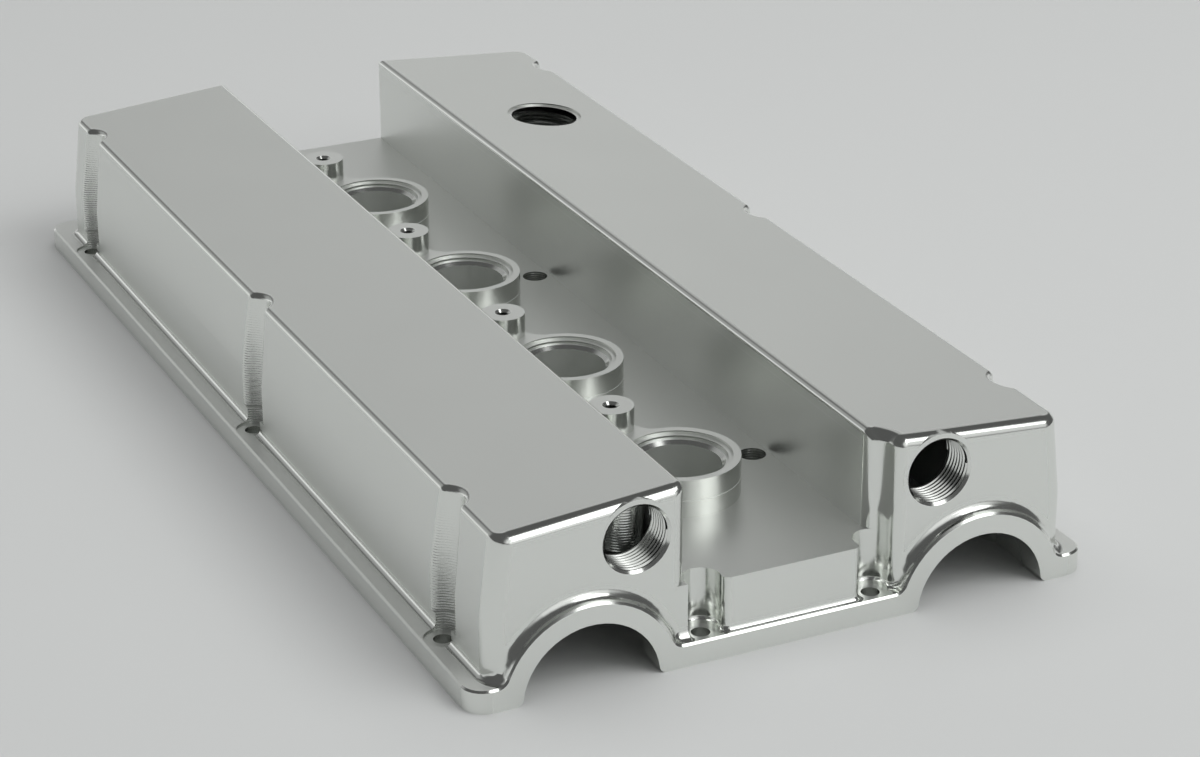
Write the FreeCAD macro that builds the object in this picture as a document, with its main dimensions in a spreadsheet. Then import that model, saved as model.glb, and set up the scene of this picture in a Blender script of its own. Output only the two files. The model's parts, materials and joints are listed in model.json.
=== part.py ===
import FreeCAD, Part
import math
import os
import Sketcher

# Four-cylinder twin-cam valve cover, machined from one block.
# X runs across the engine, Y along it with the half-round cam cut-outs in front at -Y, Z up.
# The origin is on the gasket plane, in the middle of the flange.

doc = FreeCAD.newDocument("valve_cover")

# Driving sizes, mm
sheet = doc.addObject("Spreadsheet::Sheet", "Dims")
sizes = [
    ("cover_width", "238"), ("cover_length", "466"), ("flange_thick", "8.5"), ("flange_corner", "8"),
    ("flange_edge", "0.7"),
    ("wall_width", "222"), ("kink_height", "30"), ("top_inset", "3.7"), ("roof_low", "60.5"),
    ("roof_high", "66"), ("valley_left", "38.3"), ("valley_right", "35.5"), ("valley_floor", "28.7"),
    ("front_recess", "4.2"), ("back_recess", "12"), ("plinth_recess", "2.4"),
    ("corner_radius", "6.5"), ("inner_corner", "4.4"), ("front_edge", "4.2"), ("side_edge", "2.2"),
    ("foot_blend", "2.3"), ("ring_blend", "4.15"),
    ("arch_spacing", "150"), ("arch_drop", "1"), ("arch_radius", "25.2"), ("ring_radius", "32.8"),
    ("foot_round", "2.5"),
    ("port_left", "56.6"), ("port_right", "58.9"), ("port_height", "49.7"), ("port_radius", "11.7"),
    ("port_mouth", "12.65"), ("port_land", "14.4"), ("port_boss", "16"), ("port_depth", "14"),
    ("filler_x", "75.5"), ("filler_y", "129"), ("filler_radius", "14.2"), ("filler_mouth", "16"),
    ("filler_boss", "20"), ("filler_depth", "14"), ("filler_step", "1"),
    ("tube_x", "-8.2"), ("tube_first", "-164.1"), ("tube_pitch", "94"), ("tube_radius", "22"),
    ("tube_height", "43"), ("tube_bore", "15.2"), ("tube_seat", "19.2"), ("tube_step", "1.2"),
    ("tube_shelf", "17.6"), ("tube_lip", "16.6"), ("tube_stem", "20"), ("tube_web", "8"),
    ("post_across", "-12"), ("post_along", "30"), ("post_radius", "8.4"), ("post_height", "51.9"),
    ("post_hole", "2.1"), ("post_hole_depth", "14"),
    ("bolt_across", "111.3"), ("bolt_front", "-192.5"), ("bolt_middle", "-8.5"), ("bolt_rear", "195"),
    ("scallop_radius", "8.2"), ("scallop_floor", "14"), ("seat_radius", "6.7"), ("seat_height", "7.8"),
    ("bolt_hole", "3.3"), ("scallop_blend", "3.2"),
    ("pocket_left", "31.3"), ("pocket_right", "34.6"), ("pocket_inset", "7"), ("pocket_radius", "6.9"),
    ("pocket_seat", "6.2"), ("pocket_blend", "4.4"), ("plinth_blend", "2.5"),
    ("drain_x", "29.2"), ("drain_along", "14.7"), ("drain_radius", "5"),
    ("wall_thick", "5"), ("front_wall", "7"), ("deck_thick", "5"), ("column_wall", "4"),
    ("cavity_round", "5"), ("stub_x", "50.4"), ("stub_y", "-204"), ("stub_radius", "7.8"), ("stub_low", "36"),
]
for row, (alias, value) in enumerate(sizes, start=1):
    sheet.set("A%d" % row, alias)
    sheet.set("B%d" % row, value)
    sheet.setAlias("B%d" % row, alias)
doc.recompute()


def size(alias):
    return float(sheet.get(alias))


# Expression text for a sheet value
def ref(text):
    out = []
    for word in text.replace("(", " ( ").replace(")", " ) ").split():
        out.append("Dims." + word if word[0].isalpha() and word != "atan" else word)
    return " ".join(out).replace("atan (", "atan(")


def value(text):
    scope = {alias: float(number) for alias, number in sizes}
    return evaluate(text.replace("(", " ( ").replace(")", " ) ").split(), scope)


# Small reader for sums and products of sheet values
def evaluate(words, scope):
    def term(i):
        number, i = factor(i)
        while i < len(words) and words[i] in ("*", "/"):
            other, j = factor(i + 1)
            number = number * other if words[i] == "*" else number / other
            i = j
        return number, i

    def factor(i):
        if words[i] == "(":
            number, i = total(i + 1)
            return number, i + 1
        if words[i] == "-":
            number, i = factor(i + 1)
            return -number, i
        if words[i] in scope:
            return scope[words[i]], i + 1
        return float(words[i]), i + 1

    def total(i):
        number, i = term(i)
        while i < len(words) and words[i] in ("+", "-"):
            other, j = term(i + 1)
            number = number + other if words[i] == "+" else number - other
            i = j
        return number, i

    return total(0)[0]


def plane_of(body, role):
    for item in body.Origin.OriginFeatures:
        if item.Role == role:
            return item


def new_sketch(body, name, role, offset=None):
    sketch = body.newObject("Sketcher::SketchObject", name)
    sketch.AttachmentSupport = [(plane_of(body, role), "")]
    sketch.MapMode = "FlatFace"
    if offset:
        sketch.setExpression("AttachmentOffset.Base.z", ref(offset))
    return sketch


def bind(obj, prop, text):
    obj.setExpression(prop, ref(text))


# Closed outline of straight lines, every corner placed by sheet values
def outline(sketch, corners):
    first = sketch.GeometryCount
    points = [FreeCAD.Vector(value(a), value(b), 0) for a, b in corners]
    count = len(points)
    for i in range(count):
        sketch.addGeometry(Part.LineSegment(points[i], points[(i + 1) % count]), False)
    for i in range(count):
        sketch.addConstraint(Sketcher.Constraint("Coincident", first + i, 2, first + (i + 1) % count, 1))
    for i, (a, b) in enumerate(corners):
        place(sketch, first + i, 1, a, b)


def place(sketch, geo, pos, a, b):
    for kind, text in (("DistanceX", a), ("DistanceY", b)):
        index = sketch.addConstraint(Sketcher.Constraint(kind, -1, 1, geo, pos, value(text)))
        sketch.setExpression("Constraints[%d]" % index, ref(text))


def circle(sketch, a, b, radius):
    centre = FreeCAD.Vector(value(a), value(b), 0)
    geo = sketch.addGeometry(Part.Circle(centre, FreeCAD.Vector(0, 0, 1), value(radius)), False)
    place(sketch, geo, 3, a, b)
    index = sketch.addConstraint(Sketcher.Constraint("Radius", geo, value(radius)))
    sketch.setExpression("Constraints[%d]" % index, ref(radius))


def pad(body, name, sketch, length, reverse=False):
    item = body.newObject("PartDesign::Pad", name)
    item.Profile = sketch
    item.setExpression("Length", ref(length))
    item.Reversed = reverse
    sketch.Visibility = False
    return item


def pocket_up(body, name, sketch, length=None):
    item = body.newObject("PartDesign::Pocket", name)
    item.Profile = sketch
    item.Reversed = True
    if length:
        item.setExpression("Length", ref(length))
    else:
        item.Type = 1
    return item


def cylinder(name, radius, height, x, y, z):
    item = doc.addObject("Part::Cylinder", name)
    item.setExpression("Radius", ref(radius))
    item.setExpression("Height", ref(height))
    item.setExpression("Placement.Base.x", ref(x))
    item.setExpression("Placement.Base.y", ref(y))
    item.setExpression("Placement.Base.z", ref(z))
    return item


def edges_where(shape, test):
    names = []
    for i, edge in enumerate(shape.Edges, start=1):
        if test(edge, edge.BoundBox, edge.CenterOfMass):
            names.append("Edge%d" % i)
    return names


def round_edges(body, name, base, radius, test):
    item = body.newObject("PartDesign::Fillet", name)
    item.Base = (base, edges_where(base.Shape, test))
    item.setExpression("Radius", ref(radius))
    doc.recompute()
    return item


def near(a, b, gap=0.05):
    return abs(a - b) < gap


front = -size("cover_length") / 2
half_wall = size("wall_width") / 2
bank_front = front + size("front_recess")
bank_back = -front - size("back_recess")

# Block: both banks and the valley between them
block = doc.addObject("PartDesign::Body", "block")
section = new_sketch(block, "block_section", "XZ_Plane", "back_recess - cover_length / 2")
outline(section, [
    ("- wall_width / 2", "0"), ("- wall_width / 2", "kink_height"),
    ("top_inset - wall_width / 2", "roof_low"), ("- valley_left", "roof_high"),
    ("- valley_left", "valley_floor"), ("valley_right", "valley_floor"),
    ("valley_right", "roof_high"), ("wall_width / 2 - top_inset", "roof_low"),
    ("wall_width / 2", "kink_height"), ("wall_width / 2", "0")])
banks = pad(block, "banks", section, "cover_length - front_recess - back_recess")
plinth_section = new_sketch(block, "plinth_section", "XZ_Plane", "cover_length / 2 - front_recess - 1")
outline(plinth_section, [
    ("- pocket_left", "0"), ("- pocket_left", "valley_floor"),
    ("pocket_right", "valley_floor"), ("pocket_right", "0")])
plinth = pad(block, "plinth", plinth_section, "front_recess - plinth_recess + 1")
doc.recompute()

# Vertical bolt scallops in the outer walls
scallop_rings = new_sketch(block, "scallop_rings", "XY_Plane", "scallop_floor")
for side in ("- bolt_across", "bolt_across"):
    for along in ("bolt_front", "bolt_middle", "bolt_rear"):
        circle(scallop_rings, side, along, "scallop_radius")
scallops = pocket_up(block, "scallops", scallop_rings)
doc.recompute()

# Bolt pockets at the front of the valley, the right one up through the bank corner
left_ring = new_sketch(block, "left_pocket_ring", "XY_Plane")
circle(left_ring, "- pocket_left", "pocket_inset - cover_length / 2", "pocket_radius")
left_pocket = pocket_up(block, "left_pocket", left_ring, "valley_floor + 1")
right_ring = new_sketch(block, "right_pocket_ring", "XY_Plane")
circle(right_ring, "pocket_right", "pocket_inset - cover_length / 2", "pocket_radius")
right_pocket = pocket_up(block, "right_pocket", right_ring)
doc.recompute()
print("block", block.Shape.isValid(), round(block.Shape.Volume), [o.Name for o in block.Group if "Invalid" in o.State])


def tall(edge, box, low=12.0):
    return box.ZLength > low and box.XLength < 6 and box.YLength < 3


def outer_corner(edge, box, mid):
    return tall(edge, box) and abs(mid.x) > half_wall - 5 and (near(box.YMin, bank_front) or near(box.YMax, bank_back))


corners = round_edges(block, "outer_corners", right_pocket, "corner_radius", outer_corner)
print("corners", corners.State, corners.Shape.isValid())


def scallop_edge(edge, box, mid):
    if box.ZLength < 12 or abs(mid.x) < half_wall - 8:
        return False
    return min(abs(abs(mid.y - size(name)) - size("scallop_radius")) for name in
               ("bolt_front", "bolt_middle", "bolt_rear")) < 3


scallop_blends = round_edges(block, "scallop_blends", corners, "scallop_blend", scallop_edge)
print("scallop blends", len(scallop_blends.Base[1]), scallop_blends.State, scallop_blends.Shape.isValid())


def inner_corner(edge, box, mid):
    return (box.ZLength > 20 and near(mid.x, -size("valley_left")) and near(mid.y, bank_front)
            and box.ZMin > size("valley_floor") - 0.1)


inner = round_edges(block, "inner_corner_round", scallop_blends, "inner_corner", inner_corner)
print("inner", len(inner.Base[1]), inner.State, inner.Shape.isValid())


def upright(box, low):
    return box.ZLength > low and box.XLength < 0.2 and box.YLength < 0.2


def plinth_edge(edge, box, mid):
    return upright(box, 15) and near(mid.y, front + size("plinth_recess"))


plinth_rounds = round_edges(block, "plinth_rounds", inner, "plinth_blend", plinth_edge)


# Both edges where the right pocket cuts the bank corner
def bank_pocket_edge(edge, box, mid):
    reach = math.hypot(mid.x - size("pocket_right"), mid.y - front - size("pocket_inset"))
    return upright(box, 20) and box.ZMax > size("roof_high") - 2 and near(reach, size("pocket_radius")) and (
        near(mid.x, size("valley_right")) or near(mid.y, bank_front))


pocket_rounds = round_edges(block, "pocket_rounds", plinth_rounds, "pocket_blend", bank_pocket_edge)
print("pockets", pocket_rounds.Base[1], pocket_rounds.State, pocket_rounds.Shape.isValid())


# Top edges: large radius along the front, smaller along the sides
def roof_gap(point):
    inner_x = size("valley_left") if point.x < 0 else size("valley_right")
    outer_x = half_wall - size("top_inset")
    fall = (size("roof_high") - size("roof_low")) / (outer_x - inner_x)
    return point.z - (size("roof_high") - fall * (abs(point.x) - inner_x))


def roof_loop(shape, side):
    loop = {}
    for i, edge in enumerate(shape.Edges, start=1):
        ends = [v.Point for v in edge.Vertexes]
        mid = edge.valueAt((edge.FirstParameter + edge.LastParameter) / 2)
        if mid.x * side > 0 and all(abs(roof_gap(p)) < 0.02 for p in ends + [mid]):
            loop[i] = (ends, mid)
    return loop


def edge_radius(point):
    at_front = point.y < bank_front + 0.5
    at_pocket = 0 < point.x < size("valley_right") + 6 and point.y < bank_front + 8
    return size("front_edge") if at_front or at_pocket else size("side_edge")


# Distance from the sharp corner of a roof edge to the rounded shape
def rounding(shape, x, y):
    inner_x = size("valley_left") if x < 0 else size("valley_right")
    outer_x = half_wall - size("top_inset")
    fall = (size("roof_high") - size("roof_low")) / (outer_x - inner_x)
    corner = FreeCAD.Vector(x, y, size("roof_high") - fall * (abs(x) - inner_x))
    return shape.distToShape(Part.Vertex(corner))[0]


# The radius changes over the two corner arcs; the direction kept is the one that leaves
# the front edge and the valley edge each with one radius along their length
def roof_fillet(name, base, side):
    loop = roof_loop(base.Shape, side)
    inner_x = side * (size("valley_left") if side < 0 else size("valley_right"))
    item = doc.addObject("Part::Fillet", name)
    item.Base = base
    for turn in ((1, 1), (1, 0), (0, 1), (0, 0)):
        rows, arcs = [], 0
        for i, (ends, mid) in loop.items():
            r1, r2 = edge_radius(ends[0]), edge_radius(ends[-1])
            if r1 != r2:
                if turn[arcs]:
                    r1, r2 = r2, r1
                arcs += 1
            rows.append((i, r1, r2))
        item.Edges = rows
        doc.recompute()
        if item.Shape.isNull() or not item.Shape.isValid():
            continue
        front_change = rounding(item.Shape, side * 50, bank_front) - rounding(item.Shape, side * 92, bank_front)
        side_change = rounding(item.Shape, inner_x, -150) - rounding(item.Shape, inner_x, 150)
        if abs(front_change) < 0.05 and abs(side_change) < 0.05:
            return item
    return item


left_roof = roof_fillet("left_roof_edges", block, -1)
print("left roof", left_roof.State, left_roof.Shape.isValid())
right_roof = roof_fillet("right_roof_edges", left_roof, 1)
print("right roof", right_roof.State, right_roof.Shape.isValid(), len(right_roof.Shape.Faces))

# Flat lands round the two front ports; they interrupt the rounded top edge
lands = []
for side, across in (("left", "- port_left"), ("right", "port_right")):
    land = cylinder(side + "_port_land", "port_land", "front_edge + 2", across,
                    "front_recess + front_edge + 2 - cover_length / 2", "port_height")
    land.Placement.Rotation = FreeCAD.Rotation(FreeCAD.Vector(1, 0, 0), 90)
    lands.append(land)

# Flange, with the two arch rings and their feet in its front plane
base = doc.addObject("PartDesign::Body", "base")
flange_plan = new_sketch(base, "flange_plan", "XY_Plane")
outline(flange_plan, [
    ("- cover_width / 2", "- cover_length / 2"), ("cover_width / 2", "- cover_length / 2"),
    ("cover_width / 2", "cover_length / 2"), ("- cover_width / 2", "cover_length / 2")])
flange = pad(base, "flange", flange_plan, "flange_thick")
doc.recompute()


def flange_corner_edge(edge, box, mid):
    return upright(box, 5)


flange_rounds = round_edges(base, "flange_corners", flange, "flange_corner", flange_corner_edge)
ring_plan = new_sketch(base, "ring_plan", "XZ_Plane", "cover_length / 2 - front_recess - 1")
for side in ("- arch_spacing / 2", "arch_spacing / 2"):
    circle(ring_plan, side, "- arch_drop", "ring_radius")
rings = pad(base, "arch_rings", ring_plan, "front_recess + 1")
doc.recompute()
trim_plan = new_sketch(base, "trim_plan", "XZ_Plane", "cover_length / 2 - front_recess - 2")
outline(trim_plan, [
    ("- cover_width", "0"), ("cover_width", "0"),
    ("cover_width", "- 2 * ring_radius"), ("- cover_width", "- 2 * ring_radius")])
trim = base.newObject("PartDesign::Pocket", "ring_trim")
trim.Profile = trim_plan
trim.Reversed = True
trim.Type = 1
doc.recompute()
print("base", base.Shape.isValid(), base.Shape.BoundBox)

outer = doc.addObject("Part::MultiFuse", "outer")
outer.Shapes = [right_roof, base] + lands
outer.Refine = True
doc.recompute()
print("outer", outer.State, outer.Shape.isValid(), len(outer.Shape.Solids), outer.Shape.BoundBox)
half_ring = size("arch_spacing") / 2


# Foot of every wall on the flange and the sweep round both arch rings.
# The radius changes from one to the other round the two outer front corners.
def foot_rows(shape, turn):
    rows, arcs = [], 0
    pockets = [(-size("pocket_left"), front + size("pocket_inset")),
               (size("pocket_right"), front + size("pocket_inset"))]
    for i, edge in enumerate(shape.Edges, start=1):
        box = edge.BoundBox
        mid = edge.valueAt((edge.FirstParameter + edge.LastParameter) / 2)
        flat = near(box.ZMin, size("flange_thick"), 0.01) and near(box.ZMax, size("flange_thick"), 0.01)
        reach = math.hypot(abs(mid.x) - half_ring, mid.z + size("arch_drop"))
        if near(reach, size("ring_radius")) and near(mid.y, bank_front, 0.01):
            rows.append((i, size("ring_blend"), size("ring_blend")))
        if not flat or mid.y < front + 0.1 or mid.y > bank_back + 0.01 or abs(mid.x) > half_wall + 0.01:
            continue
        if any(near(math.hypot(mid.x - x, mid.y - y), size("pocket_radius"), 0.02) for x, y in pockets):
            continue
        at_bank = mid.y < bank_front + 0.01 and abs(mid.x) > size("pocket_left")
        if at_bank:
            rows.append((i, size("ring_blend"), size("ring_blend")))
        elif mid.y < bank_front + 3 and abs(mid.x) > half_wall - 4:
            large, small = size("ring_blend"), size("foot_blend")
            rows.append((i, small, large) if turn[arcs] else (i, large, small))
            arcs += 1
        else:
            rows.append((i, size("foot_blend"), size("foot_blend")))
    return rows


feet = doc.addObject("Part::Fillet", "feet")
feet.Base = outer
for turn in ((1, 0), (0, 1), (1, 1), (0, 0)):
    feet.Edges = foot_rows(outer.Shape, turn)
    doc.recompute()
    if not feet.Shape.isNull() and feet.Shape.isValid():
        break
print("feet", feet.State, feet.Shape.isValid(), len(feet.Shape.Faces))


# Upper edge of the flange and of the rings in the front plane
def rim_edge(edge):
    box = edge.BoundBox
    mid = edge.valueAt((edge.FirstParameter + edge.LastParameter) / 2)
    if near(box.YMin, front, 0.01) and near(box.YMax, front, 0.01):
        return box.ZMin > size("flange_thick") - 0.01
    flat = near(box.ZMin, size("flange_thick"), 0.01) and near(box.ZMax, size("flange_thick"), 0.01)
    at_edge = abs(mid.x) > size("cover_width") / 2 - 3 or mid.y > -front - 0.01
    return flat and (at_edge or (abs(mid.x) > size("cover_width") / 2 - size("flange_corner")
                                 and abs(mid.y) > -front - size("flange_corner")))


rim = doc.addObject("Part::Chamfer", "flange_rim")
rim.Base = feet
rim.Edges = [(i, size("flange_edge"), size("flange_edge"))
             for i, edge in enumerate(feet.Shape.Edges, start=1) if rim_edge(edge)]
doc.recompute()
print("rim", rim.State, len(rim.Edges), rim.Shape.isValid())

# Plug tubes with their coil posts: one outline of four tangent arcs, padded and repeated
tubes = doc.addObject("PartDesign::Body", "plug_tubes")
tube_plan = new_sketch(tubes, "tube_plan", "XY_Plane", "valley_floor - 1")
# Turned a quarter: the sketch runs along the engine
tube_plan.AttachmentOffset = FreeCAD.Placement(FreeCAD.Vector(0, 0, size("valley_floor") - 1),
                                               FreeCAD.Rotation(FreeCAD.Vector(0, 0, 1), 90))
tube_at = FreeCAD.Vector(size("tube_first"), -size("tube_x"), 0)
post_at = tube_at + FreeCAD.Vector(size("post_along"), -size("post_across"), 0)
big, small = size("tube_radius"), size("post_radius")
web = size("tube_web")
span = (post_at - tube_at).Length
along = (post_at - tube_at).normalize()
across = FreeCAD.Vector(-along.y, along.x, 0)
reach = ((big + web) ** 2 - (small + web) ** 2 + span ** 2) / (2 * span)
aside = math.sqrt((big + web) ** 2 - reach ** 2)
left_at = tube_at + along * reach + across * aside
right_at = tube_at + along * reach - across * aside


def heading(a, b):
    return math.atan2(b.y - a.y, b.x - a.x)


def arc(sketch, centre, radius, begin, end):
    begin = begin % (2 * math.pi)
    end = begin + (end - begin) % (2 * math.pi)
    ring = Part.Circle(centre, FreeCAD.Vector(0, 0, 1), radius)
    return sketch.addGeometry(Part.ArcOfCircle(ring, begin, end), False)


arcs = [
    arc(tube_plan, tube_at, big, heading(tube_at, left_at), heading(tube_at, right_at)),
    arc(tube_plan, right_at, web, heading(right_at, post_at), heading(right_at, tube_at)),
    arc(tube_plan, post_at, small, heading(post_at, right_at), heading(post_at, left_at)),
    arc(tube_plan, left_at, web, heading(left_at, tube_at), heading(left_at, post_at)),
]
# Ends that meet: tube end, right web; right web, post; post, left web; left web, tube start
for a, ea, b, eb in ((0, 2, 1, 2), (1, 1, 2, 1), (2, 2, 3, 2), (3, 1, 0, 1)):
    tube_plan.addConstraint(Sketcher.Constraint("Tangent", arcs[a], ea, arcs[b], eb))
for geo, radius in zip(arcs, ("tube_radius", "tube_web", "post_radius", "tube_web")):
    index = tube_plan.addConstraint(Sketcher.Constraint("Radius", geo, value(radius)))
    tube_plan.setExpression("Constraints[%d]" % index, ref(radius))
place(tube_plan, arcs[0], 3, "tube_first", "- tube_x")
place(tube_plan, arcs[2], 3, "tube_first + post_along", "- tube_x - post_across")
tube_pad = pad(tubes, "tube_and_web", tube_plan, "tube_height - valley_floor + 1")
doc.recompute()
print("tube", tube_pad.State, tube_pad.Shape.isValid(), tube_plan.FullyConstrained)
post_plan = new_sketch(tubes, "post_plan", "XY_Plane", "tube_height - 1")
circle(post_plan, "tube_x + post_across", "tube_first + post_along", "post_radius")
post_pad = pad(tubes, "post", post_plan, "post_height - tube_height + 1")
doc.recompute()
row_of_tubes = tubes.newObject("PartDesign::LinearPattern", "tube_row")
row_of_tubes.Originals = [tube_pad, post_pad]
row_of_tubes.Direction = (plane_of(tubes, "Y_Axis"), [""])
tubes.Tip = row_of_tubes
row_of_tubes.Occurrences = 4
bind(row_of_tubes, "Length", "3 * tube_pitch")
doc.recompute()
print("tubes", row_of_tubes.State, tubes.Shape.isValid(), len(tubes.Shape.Solids), tubes.Shape.BoundBox)


def cavity_corner(edge, box, mid):
    return upright(box, 15)


# Inside of the cover, open below
def cavity(name, corners):
    body = doc.addObject("PartDesign::Body", name)
    plan = new_sketch(body, name + "_section", "XZ_Plane", "back_recess + front_wall - cover_length / 2")
    outline(plan, corners)
    block = pad(body, name + "_length", plan, "cover_length - front_recess - back_recess - 2 * front_wall")
    doc.recompute()
    return round_edges(body, name + "_rounds", block, "cavity_round", cavity_corner), body


left_cavity = cavity("left_cavity", [
    ("top_inset + wall_thick - wall_width / 2", "- 1"),
    ("top_inset + wall_thick - wall_width / 2", "roof_low - wall_thick"),
    ("- valley_left - wall_thick", "roof_high - wall_thick"), ("- valley_left - wall_thick", "- 1")])[1]
right_cavity = cavity("right_cavity", [
    ("wall_width / 2 - top_inset - wall_thick", "- 1"),
    ("wall_width / 2 - top_inset - wall_thick", "roof_low - wall_thick"),
    ("valley_right + wall_thick", "roof_high - wall_thick"), ("valley_right + wall_thick", "- 1")])[1]
valley_cavity = cavity("valley_cavity", [
    ("wall_thick - valley_left", "- 1"), ("wall_thick - valley_left", "valley_floor - deck_thick"),
    ("valley_right - wall_thick", "valley_floor - deck_thick"), ("valley_right - wall_thick", "- 1")])[1]
cavities = doc.addObject("Part::MultiFuse", "cavities")
cavities.Shapes = [left_cavity, right_cavity, valley_cavity]
doc.recompute()
print("cavities", cavities.State, cavities.Shape.isValid(), len(cavities.Shape.Solids))

# Solid material kept round every bolt, tube, drain and port
kept = []
for name, along in (("front", "bolt_front"), ("middle", "bolt_middle"), ("rear", "bolt_rear")):
    for side, across in (("left", "- bolt_across"), ("right", "bolt_across")):
        kept.append(cylinder("%s_%s_column" % (side, name), "scallop_radius + column_wall", "roof_high + 2",
                             across, along, "- 2"))
kept.append(cylinder("left_pocket_column", "pocket_radius + column_wall", "roof_high + 2",
                     "- pocket_left", "pocket_inset - cover_length / 2", "- 2"))
kept.append(cylinder("right_pocket_column", "pocket_radius + column_wall", "roof_high + 2",
                     "pocket_right", "pocket_inset - cover_length / 2", "- 2"))
for number in range(4):
    kept.append(cylinder("tube_stem_%d" % (number + 1), "tube_stem", "valley_floor + 1",
                         "tube_x", "tube_first + %d * tube_pitch" % number, "- 2"))
for number in (0, 2):
    kept.append(cylinder("drain_boss_%d" % (number // 2 + 1), "drain_radius + column_wall", "valley_floor + 1",
                         "drain_x", "tube_first + drain_along + %d * tube_pitch" % number, "- 2"))
kept.append(cylinder("roof_stub", "stub_radius", "roof_high - stub_low", "- stub_x", "stub_y", "stub_low"))
for side, across in (("left", "- port_left"), ("right", "port_right")):
    boss = cylinder(side + "_port_boss", "port_boss", "port_depth", across,
                    "front_recess + port_depth - cover_length / 2", "port_height")
    boss.Placement.Rotation = FreeCAD.Rotation(FreeCAD.Vector(1, 0, 0), 90)
    kept.append(boss)


# Sketch set into a bore: its upright axis is the axis of the bore
def bore_sketch(body, name, role, x, y, z, tilt=None):
    sketch = body.newObject("Sketcher::SketchObject", name)
    sketch.AttachmentSupport = [(plane_of(body, role), "")]
    sketch.MapMode = "FlatFace"
    for axis, text in (("x", x), ("y", y), ("z", z)):
        sketch.setExpression("AttachmentOffset.Base." + axis, ref(text))
    if tilt:
        sketch.setExpression("AttachmentOffset.Rotation.Angle", ref(tilt))
    return sketch


fall = "( roof_high - roof_low ) / ( wall_width / 2 - top_inset - valley_right )"
filler_top = "roof_high - ( filler_x - valley_right ) * " + fall
roof_tilt = "- atan( %s )" % fall
filler_body = doc.addObject("PartDesign::Body", "filler_boss")
filler_ring = bore_sketch(filler_body, "filler_boss_profile", "XZ_Plane",
                          "filler_x", filler_top, "- filler_y", roof_tilt)
outline(filler_ring, [("0", "- 1"), ("filler_boss", "- 1"), ("filler_boss", "- filler_depth"),
                      ("0", "- filler_depth")])
filler_turned = filler_body.newObject("PartDesign::Revolution", "filler_boss_turned")
filler_turned.Profile = filler_ring
filler_turned.ReferenceAxis = (filler_ring, ["V_Axis"])
filler_turned.Angle = 360
doc.recompute()
print("filler", filler_turned.State, filler_body.Shape.BoundBox)
kept.append(filler_body)

columns = doc.addObject("Part::MultiFuse", "columns")
columns.Shapes = kept
hollow = doc.addObject("Part::Cut", "hollow")
hollow.Base = cavities
hollow.Tool = columns
doc.recompute()
print("hollow", hollow.State, hollow.Shape.isValid(), len(hollow.Shape.Solids), round(hollow.Shape.Volume))
solid = doc.addObject("Part::MultiFuse", "solid_cover")
solid.Shapes = [rim, tubes]
blank = doc.addObject("Part::Cut", "blank")
blank.Base = solid
blank.Tool = hollow
blank.Refine = True
doc.recompute()
print("blank", blank.State, blank.Shape.isValid(), len(blank.Shape.Solids), round(blank.Shape.Volume))

# Holes and cut-outs, each shaped as a body of its own and then cut out together
cutters = []


def turned(name, role, x, y, z, corners, tilt=None):
    body = doc.addObject("PartDesign::Body", name)
    profile = bore_sketch(body, name + "_profile", role, x, y, z, tilt)
    outline(profile, corners)
    item = body.newObject("PartDesign::Revolution", name + "_turned")
    item.Profile = profile
    item.ReferenceAxis = (profile, ["V_Axis"])
    item.Angle = 360
    cutters.append(body)
    doc.recompute()
    return body, item


# Four of the same along the engine, one tube pitch apart
def repeated(body, item):
    row = body.newObject("PartDesign::LinearPattern", body.Name + "_row")
    row.Originals = [item]
    row.Direction = (plane_of(body, "Y_Axis"), [""])
    body.Tip = row
    row.Occurrences = 4
    bind(row, "Length", "3 * tube_pitch")
    doc.recompute()


repeated(*turned("tube_bores", "XZ_Plane", "tube_x", "0", "- tube_first", [
    ("0", "tube_height + 1"), ("tube_seat", "tube_height + 1"), ("tube_seat", "tube_height - tube_step"),
    ("tube_shelf", "tube_height - tube_step"), ("tube_shelf", "tube_height - 2 * tube_step"),
    ("tube_lip", "tube_height - 2 * tube_step"), ("tube_bore", "tube_height - 3 * tube_step"),
    ("tube_bore", "- 1"), ("0", "- 1")]))
repeated(*turned("post_holes", "XZ_Plane", "tube_x + post_across", "0", "- tube_first - post_along", [
    ("0", "post_height + 1"), ("post_hole + 2", "post_height + 1"), ("post_hole", "post_height - 1"),
    ("post_hole", "post_height - post_hole_depth"), ("0", "post_height - post_hole_depth")]))

port_steps = [
    ("0", "- 2"), ("port_mouth + 2", "- 2"), ("port_radius", "port_mouth - port_radius"),
    ("port_radius", "port_depth + 1"), ("0", "port_depth + 1")]
turned("left_port", "XY_Plane", "- port_left", "front_recess - cover_length / 2", "port_height", port_steps)
turned("right_port", "XY_Plane", "port_right", "front_recess - cover_length / 2", "port_height", port_steps)
turned("filler_hole", "XZ_Plane", "filler_x", filler_top, "- filler_y", [
    ("0", "2"), ("filler_mouth", "2"), ("filler_mouth", "- filler_step"), ("filler_radius", "- filler_step"),
    ("filler_radius", "- filler_depth - 2"), ("0", "- filler_depth - 2")], roof_tilt)


def round_holes(name, circles, low, length):
    body = doc.addObject("PartDesign::Body", name)
    plan = new_sketch(body, name + "_plan", "XY_Plane", low)
    for a, b, radius in circles:
        circle(plan, a, b, radius)
    pad(body, name + "_depth", plan, length)
    cutters.append(body)
    doc.recompute()


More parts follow.
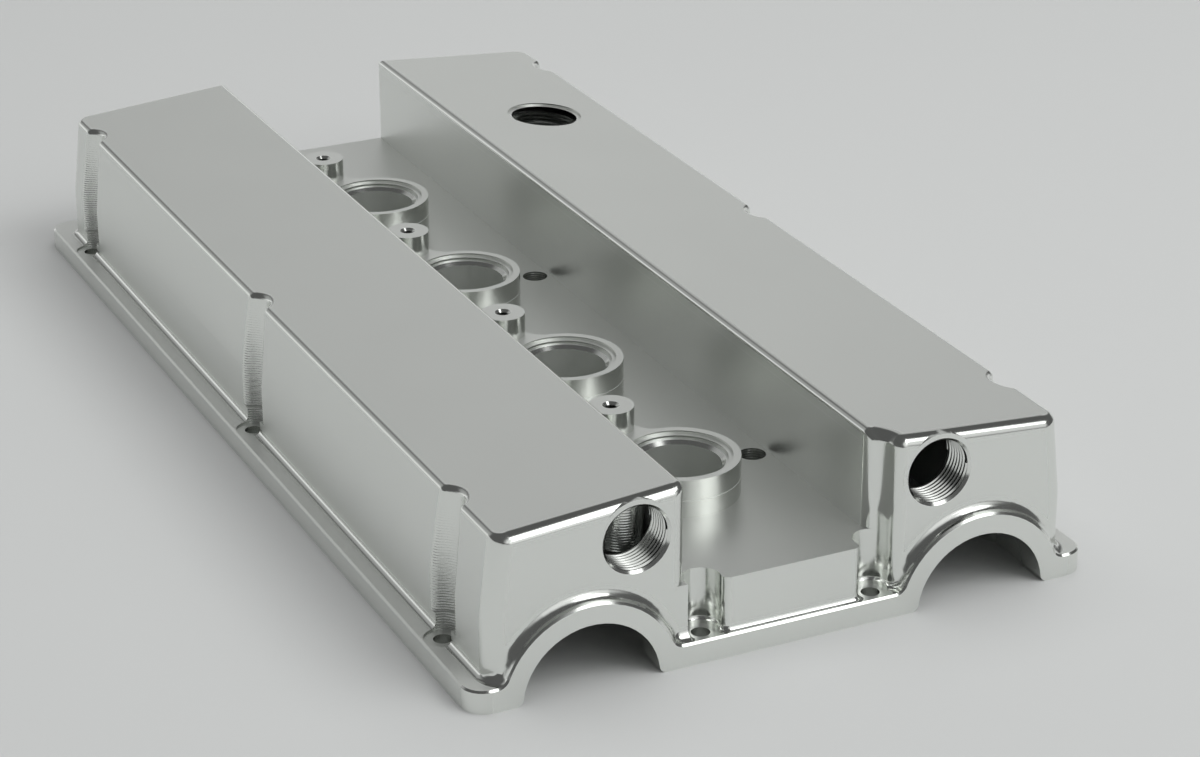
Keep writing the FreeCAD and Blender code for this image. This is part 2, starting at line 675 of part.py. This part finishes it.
bolts = [(side, along) for side in ("- bolt_across", "bolt_across")
         for along in ("bolt_front", "bolt_middle", "bolt_rear")]
pockets = [(a, "pocket_inset - cover_length / 2") for a in ("- pocket_left", "pocket_right")]
round_holes("bolt_seats", [(a, b, "seat_radius") for a, b in bolts], "seat_height",
            "scallop_floor - seat_height + 1")
round_holes("pocket_seats", [(a, b, "pocket_seat") for a, b in pockets], "seat_height",
            "flange_thick - seat_height + foot_blend")
round_holes("bolt_holes", [(a, b, "bolt_hole") for a, b in bolts + pockets], "- 1", "seat_height + 2")
round_holes("drains", [
    ("drain_x", "tube_first + drain_along + %d * tube_pitch" % number, "drain_radius") for number in (0, 2)],
    "- 1", "valley_floor + 2")


# Half-round cam openings; their feet run out to the gasket plane in small rounds
def arch_outline(sketch, across):
    x, z = value(across), -size("arch_drop")
    large, small = size("arch_radius"), size("foot_round")
    rise = small - z
    run = math.sqrt((large + small) ** 2 - rise ** 2)
    middle = FreeCAD.Vector(x, z, 0)
    feet_at = [FreeCAD.Vector(x + run, small, 0), FreeCAD.Vector(x - run, small, 0)]
    crown = arc(sketch, middle, large, heading(middle, feet_at[0]), heading(middle, feet_at[1]))
    right_foot = arc(sketch, feet_at[0], small, heading(feet_at[0], middle), 1.5 * math.pi)
    left_foot = arc(sketch, feet_at[1], small, 1.5 * math.pi, heading(feet_at[1], middle))
    low = [FreeCAD.Vector(x + run, 0, 0), FreeCAD.Vector(x + run, -1, 0),
           FreeCAD.Vector(x - run, -1, 0), FreeCAD.Vector(x - run, 0, 0)]
    lines = [sketch.addGeometry(Part.LineSegment(low[i], low[i + 1]), False) for i in range(3)]
    for kind, ga, ea, gb, eb in (
            ("Tangent", crown, 1, right_foot, 1), ("Tangent", crown, 2, left_foot, 2),
            ("Coincident", right_foot, 2, lines[0], 1), ("Coincident", lines[0], 2, lines[1], 1),
            ("Coincident", lines[1], 2, lines[2], 1), ("Coincident", lines[2], 2, left_foot, 1)):
        sketch.addConstraint(Sketcher.Constraint(kind, ga, ea, gb, eb))
    for geo, radius in ((crown, "arch_radius"), (right_foot, "foot_round"), (left_foot, "foot_round")):
        index = sketch.addConstraint(Sketcher.Constraint("Radius", geo, value(radius)))
        sketch.setExpression("Constraints[%d]" % index, ref(radius))
    place(sketch, crown, 3, across, "- arch_drop")
    for foot, line, end in ((right_foot, lines[0], 2), (left_foot, lines[2], 1)):
        index = sketch.addConstraint(Sketcher.Constraint("DistanceY", -1, 1, foot, 3, small))
        sketch.setExpression("Constraints[%d]" % index, ref("foot_round"))
        sketch.addConstraint(Sketcher.Constraint("Vertical", foot, 3, foot, end))
        sketch.addConstraint(Sketcher.Constraint("Vertical", line))
    sketch.addConstraint(Sketcher.Constraint("Horizontal", lines[1]))
    sketch.addConstraint(Sketcher.Constraint("DistanceY", lines[0], 2, lines[0], 1, 1.0))


arches = doc.addObject("PartDesign::Body", "arches")
arch_plan = new_sketch(arches, "arch_plan", "XZ_Plane", "cover_length / 2 - front_recess - front_wall - 1")
for across in ("- arch_spacing / 2", "arch_spacing / 2"):
    arch_outline(arch_plan, across)
pad(arches, "arch_depth", arch_plan, "front_recess + front_wall + 2")
cutters.append(arches)
doc.recompute()

tools = doc.addObject("Part::MultiFuse", "cutting_tools")
tools.Shapes = cutters
cover = doc.addObject("Part::Cut", "cover")
cover.Base = blank
cover.Tool = tools
cover.Label = "valve_cover"
doc.recompute()

for item in doc.Objects:
    shape = getattr(item, "Shape", None)
    bad = "Invalid" in item.State or "Error" in item.State
    if shape is not None and item.isDerivedFrom("Part::Feature") and not item.isDerivedFrom("Sketcher::SketchObject"):
        bad = bad or shape.isNull() or not shape.isValid()
    if bad:
        raise RuntimeError("feature %s did not build: %s" % (item.Name, item.State))
box = cover.Shape.BoundBox
print("solids", len(cover.Shape.Solids), "faces", len(cover.Shape.Faces), "volume", round(cover.Shape.Volume))
print("box", box.XMin, box.YMin, box.ZMin, box.XMax, box.YMax, box.ZMax)
os.makedirs("parts", exist_ok=True)
cover.Shape.exportStep("parts/valve_cover.step")
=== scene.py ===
import json
from math import cos, hypot, pi, radians

import bmesh
import bpy
from mathutils import Matrix, Vector


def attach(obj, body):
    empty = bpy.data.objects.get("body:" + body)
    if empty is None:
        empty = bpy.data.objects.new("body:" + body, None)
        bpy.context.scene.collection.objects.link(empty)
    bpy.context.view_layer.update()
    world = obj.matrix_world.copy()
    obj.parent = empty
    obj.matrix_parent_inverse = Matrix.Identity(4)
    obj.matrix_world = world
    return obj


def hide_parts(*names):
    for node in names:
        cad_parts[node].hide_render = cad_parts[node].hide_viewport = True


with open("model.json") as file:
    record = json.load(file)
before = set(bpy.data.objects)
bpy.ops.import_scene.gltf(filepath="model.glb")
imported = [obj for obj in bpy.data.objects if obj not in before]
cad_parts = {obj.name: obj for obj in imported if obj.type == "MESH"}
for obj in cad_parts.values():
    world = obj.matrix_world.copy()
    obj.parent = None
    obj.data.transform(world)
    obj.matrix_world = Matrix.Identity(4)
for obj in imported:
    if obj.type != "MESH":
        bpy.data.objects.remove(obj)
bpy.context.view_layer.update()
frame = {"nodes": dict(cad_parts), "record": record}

mm = 0.001
scene = bpy.context.scene
scene.view_settings.view_transform = "Standard"


# Shader trees are written as sums: a wire is a socket that can be added, multiplied and so on
class Wire:
    def __init__(self, paint, socket):
        self.paint = paint
        self.socket = socket

    def maths(self, operation, *values):
        return self.paint.node("ShaderNodeMath", {"operation": operation}, *values)

    def __add__(self, other):
        return self.maths("ADD", self, other)

    def __radd__(self, other):
        return self.maths("ADD", other, self)

    def __sub__(self, other):
        return self.maths("SUBTRACT", self, other)

    def __rsub__(self, other):
        return self.maths("SUBTRACT", other, self)

    def __mul__(self, other):
        return self.maths("MULTIPLY", self, other)

    def __rmul__(self, other):
        return self.maths("MULTIPLY", other, self)

    def __lt__(self, other):
        return self.maths("LESS_THAN", self, other)

    def __abs__(self):
        return self.maths("ABSOLUTE", self)

    def sine(self):
        return self.maths("SINE", self)

    # Goes softly from one strength to another while the wire goes from start to end
    def eased(self, start, end, first, last):
        return self.paint.node("ShaderNodeMapRange", {"interpolation_type": "SMOOTHSTEP"},
                               self, start, end, first, last)

    def output(self, name):
        return Wire(self.paint, self.socket.node.outputs[name])


class Paint:
    def __init__(self, tree):
        self.tree = tree
        tree.nodes.clear()

    # A node with its settings, then values or wires for its sockets, in order or by name
    def node(self, kind, settings=None, *values, **named):
        made = self.tree.nodes.new(kind)
        for key, value in (settings or {}).items():
            setattr(made, key, value)
        for i, value in enumerate(values):
            self.feed(made.inputs[i], value)
        for key, value in named.items():
            self.feed(made.inputs[key.replace("_", " ")], value)
        return Wire(self, made.outputs[0]) if made.outputs else None

    def feed(self, socket, value):
        if isinstance(value, Wire):
            self.tree.links.new(value.socket, socket)
        elif value is not None:
            socket.default_value = value


# Machined aluminium: satin flats, milled walls, polished rounds, turned tubes, ribbed cutter walls
metal = {
    "colour": (0.828, 0.845, 0.816, 1),
    "finishes": {
        "satin_roof": {"rough": 0.42, "metallic": 0.75, "grain": 0.25},
        "satin_ledge": {"rough": 0.42, "metallic": 0.6, "grain": 0.25},
        "satin_valley": {"rough": 0.4, "metallic": 0.9, "grain": 0.25},
        "milled_wall": {"rough": 0.325, "metallic": 0.85},
        # The lines of a finish are the heights of its painted highlight lines
        "milled_inner_wall": {"rough": 0.34, "metallic": 0.92, "lines": (28.9 * mm, 60.5 * mm)},
        "polished_round": {"rough": 0.16, "metallic": 1},
        "turned_tube": {"rough": 0.19, "metallic": 1, "lines": (35.2 * mm,), "ribs": "turningMarks"},
        "ribbed_pocket": {"rough": 0.23, "metallic": 1, "ribs": "cutterRibs"},
        "reamed_bore": {"rough": 0.36, "metallic": 0.85},
        # Painted shade: the faces inside the hollows get a darker colour, as well as their rougher finish
        "rough_inside_painted_shade": {"rough": 0.5, "metallic": 0.9, "colour": (0.5, 0.515, 0.5, 1)},
    },
    "cloudScale": 26,  # soft clouds in the roughness of every finish
    "cloudDetail": 3,
    "cloudRough": 0.05,
    "grainScale": 1500,  # fine grain of the satin flats
    "grainDetail": 2,
    "grainDepth": 0.02 * mm,
    "cutterRibs": {"pitch": 1 * mm, "depth": 0.035 * mm},
    "turningMarks": {"pitch": 0.35 * mm, "depth": 0.002 * mm},
    "ribDrift": 6,  # radians by which the clouds shift the ribs
    "ribFade": (22 * mm, 58 * mm, 1.6, 0.3),  # two heights, and the share of the depth at each
    "paintedHighlightColour": (0.98, 0.99, 0.98, 1),  # painted highlight: thin near-white lines at set heights, standing for machining lines that catch the light
    "paintedHighlightWidth": 0.26 * mm,
    "paintedHighlightShare": 0.4,
}


def aluminium(name):
    finish = metal["finishes"][name]
    material = bpy.data.materials.new(name)
    material.use_nodes = True
    paint = Paint(material.node_tree)
    spot = paint.node("ShaderNodeTexCoord").output("Object")
    height = paint.node("ShaderNodeSeparateXYZ", None, spot).output("Z")
    cloud = paint.node("ShaderNodeTexNoise", None, Vector=spot, Scale=metal["cloudScale"],
                       Detail=metal["cloudDetail"])
    normal = None
    if "grain" in finish:
        grain = paint.node("ShaderNodeTexNoise", None, Vector=spot, Scale=metal["grainScale"],
                           Detail=metal["grainDetail"])
        normal = paint.node("ShaderNodeBump", None, Strength=finish["grain"], Distance=metal["grainDepth"],
                            Height=grain)
    if "ribs" in finish:
        ribs = metal[finish["ribs"]]
        wave = (height * (2 * pi / ribs["pitch"]) + cloud * metal["ribDrift"]).sine()
        wave = wave * paint.node("ShaderNodeMapRange", None, height, *metal["ribFade"])
        normal = paint.node("ShaderNodeBump", None, Distance=ribs["depth"], Height=wave)
    rough = finish["rough"] + (cloud - 0.5) * metal["cloudRough"]
    shader = paint.node("ShaderNodeBsdfPrincipled", None, Base_Color=finish.get("colour", metal["colour"]),
                        Metallic=finish["metallic"], Roughness=rough, Normal=normal)
    # Painted highlight: each listed height gets a thin near-white diffuse band mixed into the metal
    for line in finish.get("lines", ()):
        bright = paint.node("ShaderNodeBsdfDiffuse", None, metal["paintedHighlightColour"])
        onPaintedHighlight = abs(height - line) < metal["paintedHighlightWidth"] / 2
        shader = paint.node("ShaderNodeMixShader", None, onPaintedHighlight * metal["paintedHighlightShare"], shader, bright)
    paint.node("ShaderNodeOutputMaterial", None, shader)
    return material


finishes = {name: aluminium(name) for name in metal["finishes"]}
print("metal finishes made")

# The cover: the CAD mesh, merged, with threads cut in its screwed holes
cover = {
    "mergeWithin": 0.001 * mm,
    "flatWithin": radians(0.1),
    "largeFace": 120 * mm * mm,
    "sharpAbove": radians(28),
    "sharpBetweenLarge": radians(1),
    "normalWeight": 100,
    "normalWithin": 0.01,  # areas this close count as equal
    "threadDepth": {"left_port": 0.95 * mm, "right_port": 0.95 * mm, "oil_filler": 1.15 * mm},
    "threadPitch": 2 * mm,
    "threadSteps": 72,  # in one turn
    "threadForm": ((0, 0), (0, 0.25), (1, 0.56), (1, 0.69), (0, 1)),  # shares of depth and pitch
    "threadMergeWithin": 0.002 * mm,
    "boreWithin": 0.02 * mm,
    # Heights and directions that tell one finish from another
    "flangeTop": 8.5 * mm,
    "valleyFloor": 28.7 * mm,
    "heightWithin": 1 * mm,
    "level": 0.9999,  # least upward part of a normal
    "nearlyStraight": 0.9,  # least upward or sideways part
    "upright": 0.2,  # most upward part
    # Distances from the axes of the tubes, posts and bolts and from the middle of the valley
    "boreReach": 15.4 * mm,
    "tubeReach": 22.2 * mm,
    "belowReach": 46 * mm,  # drain holes and the tubes' columns, below the valley floor
    "postReach": 8.6 * mm,
    "boltReach": 12 * mm,
    "valleyHalf": 40 * mm,
    "stub": Vector((-50.4, -204, 0)) * mm,  # the column seen through the left port
    "stubReach": 8 * mm,
    # How far the walls and columns of a hollow reach past its box
    "wallReach": 4.2 * mm,
    "roofReach": 9 * mm,
    "columnReach": 12 * mm,
}
record = frame["record"]
mounts = {mount["name"]: mount for mount in record["mounts"]}


# Turns +Z onto the axis of a mount and moves the origin to its position
def mountPlace(mount):
    turn = Vector((0, 0, 1)).rotation_difference(Vector(mount["axis"])).to_matrix().to_4x4()
    return Matrix.Translation(Vector(mount["pos_m"])) @ turn


def boreSize(mount):
    return mount["dims"]["r_mm"] * mm, mount["dims"]["length_mm"] * mm


# The faces of the plain bore that a thread replaces
def boreFaces(bm, mount):
    back = mountPlace(mount).inverted()
    radius, length = boreSize(mount)
    found = []
    for face in bm.faces:
        spots = [back @ v.co for v in face.verts]
        if all(abs(hypot(s.x, s.y) - radius) < cover["boreWithin"] and abs(s.z) < length for s in spots):
            found.append(face)
    return found


# One turn of the thread's form, swept along the bore as a screw
def threadMesh(mount, depth):
    radius, length = boreSize(mount)
    pitch = cover["threadPitch"]
    turns = int(length / pitch)
    steps = turns * cover["threadSteps"]
    screw = bmesh.new()
    verts = [screw.verts.new((radius + out * depth, 0, up * pitch - length / 2))
             for out, up in cover["threadForm"]]
    edges = [screw.edges.new(pair) for pair in zip(verts, verts[1:])]
    bmesh.ops.spin(screw, geom=verts + edges, cent=(0, 0, 0), axis=(0, 0, 1), angle=2 * pi * turns,
                   dvec=(0, 0, (turns - 1) * pitch / steps), steps=steps, use_merge=False)
    bmesh.ops.remove_doubles(screw, verts=screw.verts, dist=cover["threadMergeWithin"])
    bmesh.ops.transform(screw, matrix=mountPlace(mount), verts=screw.verts)
    mesh = bpy.data.meshes.new("thread")
    screw.to_mesh(mesh)
    screw.free()
    return mesh


# Every place a mount stands for: one for a bore, all the holes for a bolt pattern
def places(mount):
    at, dims = Vector(mount["pos_m"]), mount["dims"]
    across = dims.get("spacing_x_mm", 0) * mm / 2
    along = dims.get("spacing_y_mm", 0) * mm / 2
    return [at + Vector((x, y, 0)) for x in {-across, across} for y in {-along, along}]


def placesOf(*starts):
    return [place for name in mounts if name.startswith(starts) for place in places(mounts[name])]


tubes, posts = placesOf("plug_tube"), placesOf("coil_posts")
sideBolts = placesOf("corner_bolts", "middle_bolts")
hollows = [[Vector(corner) for corner in opening["box_m"]] for opening in record["physics"]["openings"]
           if "cam_space" in opening["name"] or "under_valley" in opening["name"]]


def within(spot, centres, reach):
    return any(hypot(spot.x - c.x, spot.y - c.y) < reach for c in centres)


# A face of a cam space or of the space under the valley: close to the hollow and turned to its middle
def looksInward(spot, n):
    side, above, behind = cover["wallReach"], cover["roofReach"], cover["columnReach"]
    for low, high in hollows:
        beside = low.x - side < spot.x < high.x + side and low.y - side < spot.y < high.y + behind
        if beside and low.z - side < spot.z < high.z + above and ((low + high) / 2 - spot).dot(n) > 0:
            return True
    return False


def finishOf(face):
    spot, n, large = face.calc_center_median(), face.normal, face.calc_area() > cover["largeFace"]
    level, upright = n.z > cover["level"], abs(n.z) < cover["upright"]
    aboveFloor = spot.z > cover["valleyFloor"]
    fromStub = spot - cover["stub"]
    if level and large and abs(spot.z - cover["flangeTop"]) < cover["heightWithin"]:
        return "satin_ledge"
    if upright and aboveFloor and fromStub.xy.length < cover["stubReach"] and fromStub.dot(n) > 0:
        return "ribbed_pocket"
    # Faces inside the hollows take the darker finish with painted shade
    if looksInward(spot, n):
        return "rough_inside_painted_shade"
    if upright and within(spot, tubes, cover["boreReach"]):
        return "reamed_bore"
    if upright and aboveFloor and (
            within(spot, tubes, cover["tubeReach"]) or within(spot, posts, cover["postReach"])):
        return "turned_tube"
    if upright and not large and spot.z > cover["flangeTop"] and within(spot, sideBolts, cover["boltReach"]):
        return "ribbed_pocket"
    if level and large and abs(spot.z - cover["valleyFloor"]) < cover["heightWithin"]:
        return "satin_valley"
    if n.z > cover["nearlyStraight"] and large:
        return "satin_roof"
    if level:
        return "milled_wall"
    if upright and not large and not aboveFloor and within(spot, tubes, cover["belowReach"]):
        return "ribbed_pocket"
    if upright and large and aboveFloor and abs(spot.x) < cover["valleyHalf"] and (
            abs(n.x) > cover["nearlyStraight"]):
        return "milled_inner_wall"
    return "milled_wall" if large else "polished_round"


bm = bmesh.new()
bm.from_mesh(frame["nodes"]["valve_cover"].data)
bmesh.ops.remove_doubles(bm, verts=bm.verts, dist=cover["mergeWithin"])
for name, depth in cover["threadDepth"].items():
    bmesh.ops.delete(bm, geom=boreFaces(bm, mounts[name]), context="FACES")
    thread = threadMesh(mounts[name], depth)
    bm.from_mesh(thread)
    bpy.data.meshes.remove(thread)
    print("thread", name)
bmesh.ops.dissolve_limit(bm, angle_limit=cover["flatWithin"], verts=bm.verts, edges=bm.edges)
bm.normal_update()
for edge in bm.edges:
    if len(edge.link_faces) == 2:
        turn = edge.calc_face_angle(0)
        betweenLarge = all(face.calc_area() > cover["largeFace"] for face in edge.link_faces)
        edge.smooth = turn < cover["sharpAbove"] and not (betweenLarge and turn > cover["sharpBetweenLarge"])
finishNames = list(finishes)
for face in bm.faces:
    face.smooth = True
    face.material_index = finishNames.index(finishOf(face))
coverMesh = bpy.data.meshes.new("valve_cover_finished")
bm.to_mesh(coverMesh)
bm.free()
for material in finishes.values():
    coverMesh.materials.append(material)
valveCover = bpy.data.objects.new("valve_cover_finished", coverMesh)
scene.collection.objects.link(valveCover)
even = valveCover.modifiers.new("even normals", "WEIGHTED_NORMAL")
even.mode = "FACE_AREA"
even.weight = cover["normalWeight"]
even.thresh = cover["normalWithin"]
even.keep_sharp = True
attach(valveCover, "root")
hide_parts("valve_cover")
print("cover", len(coverMesh.polygons), "faces")

# A dark room round a pale table: the camera sees paper all round, the metal sees the room
studio = {
    "floorColour": (0.66, 0.67, 0.665, 1),
    "floorSize": 3.6,
    "paperGlow": 0.54,
    "paperColour": (0.945, 0.955, 0.95, 1),
    "roomGlow": 0.1,
    "backGlow": 0.62,  # low behind the table
    "backHeight": (0.1, 0.34),  # upward part of a direction, between which the back glow fades
    "backTurn": (0, 0.6),  # its backward part, between which the back glow grows
    "patches": {  # soft bright fields in the room, with half angles in degrees
        "front": {"towards": (0.24, -0.85, 0.42), "inner": 12, "outer": 34, "glow": 0.8},
        "key": {"towards": (0.42, -0.52, 0.74), "inner": 11, "outer": 18, "glow": 2.2},
        "strip": {"towards": (0.33, -0.86, 0.44), "inner": 3, "outer": 6, "glow": 2.0},
        "left": {"towards": (-0.45, 0.8, 0.38), "inner": 4, "outer": 30, "glow": 0.28},
        "back": {"towards": (0.36, 0.82, 0.44), "inner": 10, "outer": 22, "glow": 0.39},
    },
    "softboxes": {
        "front_softbox": {"at": (1.25, -1.4, 1.7), "aim": (0.1, 0, 0.05), "size": (2.0, 1.2), "power": 12},
        "overhead_softbox": {"at": (0.25, 0, 1.9), "aim": (0.1, 0, 0), "size": (2.8, 2.8), "power": 28.5},
    },
}

paper = bpy.data.materials.new("studio paper")
paper.use_nodes = True
paint = Paint(paper.node_tree)
diffuse = paint.node("ShaderNodeBsdfDiffuse", None, studio["floorColour"])
paint.node("ShaderNodeOutputMaterial", None, diffuse)
floorBm = bmesh.new()
bmesh.ops.create_grid(floorBm, x_segments=1, y_segments=1, size=studio["floorSize"] / 2)
floorMesh = bpy.data.meshes.new("floor")
floorBm.to_mesh(floorMesh)
floorBm.free()
floorMesh.materials.append(paper)
floor = bpy.data.objects.new("floor", floorMesh)
scene.collection.objects.link(floor)

world = bpy.data.worlds.new("studio")
scene.world = world
world.use_nodes = True
paint = Paint(world.node_tree)
direction = paint.node("ShaderNodeTexCoord").output("Generated")
parts = paint.node("ShaderNodeSeparateXYZ", None, direction)
low = parts.output("Z").eased(*studio["backHeight"], 1, 0)
behind = parts.output("Y").eased(*studio["backTurn"], 0, 1)
room = studio["roomGlow"] + low * behind * studio["backGlow"]
for patch in studio["patches"].values():
    towards = Vector(patch["towards"]).normalized()
    dot = paint.node("ShaderNodeVectorMath", {"operation": "DOT_PRODUCT"}, direction, towards)
    outer, inner = cos(radians(patch["outer"])), cos(radians(patch["inner"]))
    room = room + dot.output("Value").eased(outer, inner, 0, patch["glow"])
seen = paint.node("ShaderNodeLightPath").output("Is Camera Ray")
glow = room + seen * (studio["paperGlow"] - room)
sky = paint.node("ShaderNodeBackground", None, studio["paperColour"], glow)
paint.node("ShaderNodeOutputWorld", None, sky)


def softbox(name, box):
    lamp = bpy.data.lights.new(name, "AREA")
    lamp.shape = "RECTANGLE"
    lamp.size, lamp.size_y = box["size"]
    lamp.energy = box["power"]
    lampObject = bpy.data.objects.new(name, lamp)
    lampObject.location = box["at"]
    lampObject.rotation_euler = (Vector(box["aim"]) - Vector(box["at"])).to_track_quat("-Z", "Y").to_euler()
    lampObject.visible_glossy = False  # the metal mirrors the bright patches of the room instead
    scene.collection.objects.link(lampObject)
    return lampObject


boxes = [softbox(name, box) for name, box in studio["softboxes"].items()]

# The camera of the photo, solved from the flange, the roof lines and the circles of tubes and arches
view = {
    "at": (-0.4728, -1.0654, 0.5269),
    "tilt": radians(65.827),
    "roll": radians(-0.093),
    "heading": radians(-25.706),
    "focalPixels": 3197.06,
    "photoWidth": 1200,
}
cameraData = bpy.data.cameras.new("camera")
cameraData.lens = view["focalPixels"] / view["photoWidth"] * cameraData.sensor_width
camera = bpy.data.objects.new("camera", cameraData)
camera.location = view["at"]
camera.rotation_euler = (Matrix.Rotation(view["heading"], 3, "Z") @ Matrix.Rotation(view["tilt"], 3, "X")
                         @ Matrix.Rotation(view["roll"], 3, "Z")).to_euler()
scene.collection.objects.link(camera)
scene.camera = camera
print("camera and light set")
